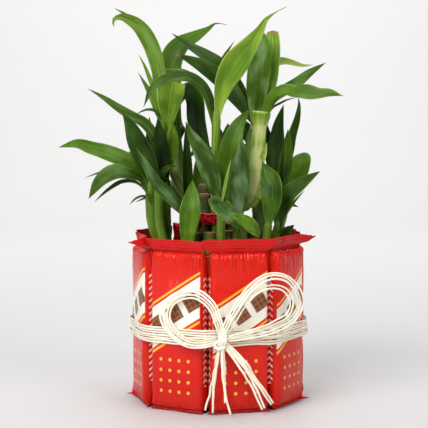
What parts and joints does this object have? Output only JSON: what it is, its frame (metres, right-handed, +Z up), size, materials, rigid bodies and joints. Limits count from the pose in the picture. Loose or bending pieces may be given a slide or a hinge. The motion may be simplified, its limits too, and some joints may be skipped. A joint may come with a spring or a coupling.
{
  "type": "lucky bamboo",
  "caption": "Lucky bamboo canes with leafy shoots in a glass vase of water, ringed by wrapped sweet bars that are tied with a raffia bow.",
  "frame": {"origin": "centre of the vase's base, on the surface that the object stands on", "axes": "+Z up along the vase's axis; the raffia bow faces -Y; +X is to the right of the bow as seen from the front"},
  "size_m": [0.1902, 0.1409, 0.2669],
  "materials": {
    "plant": "satin leaf and stem",
    "glass": "clear glass",
    "water": "clear water",
    "ribbon": "metallic foil ribbon",
    "wrapper": "glossy printed film",
    "raffia": "dry natural fibre"
  },
  "bodies": {
    "root": {"cane_innerMiddle": "plant", "cane_innerFront": "plant", "cane_innerFrontRight": "plant", "cane_innerBackRight": "plant", "cane_innerBack": "plant", "cane_innerBackLeft": "plant", "cane_innerFrontLeft": "plant", "cane_outer1": "plant", "cane_outer2": "plant", "cane_outer3": "plant", "cane_outer4": "plant", "cane_outer5": "plant", "cane_outer6": "plant", "cane_outer7": "plant", "cane_outer8": "plant", "cane_outer9": "plant", "cane_outer10": "plant", "cane_outer11": "plant", "cane_outer12": "plant", "bar_1": "wrapper", "bar_2": "wrapper", "bar_3": "wrapper", "bar_4": "wrapper", "bar_5": "wrapper", "bar_6": "wrapper", "bar_7": "wrapper", "bar_8": "wrapper", "vase": "glass", "water": "water", "ribbon_inner": "ribbon", "ribbon_outer": "ribbon", "raffia_tie": "raffia"}
  },
  "joints": []
}
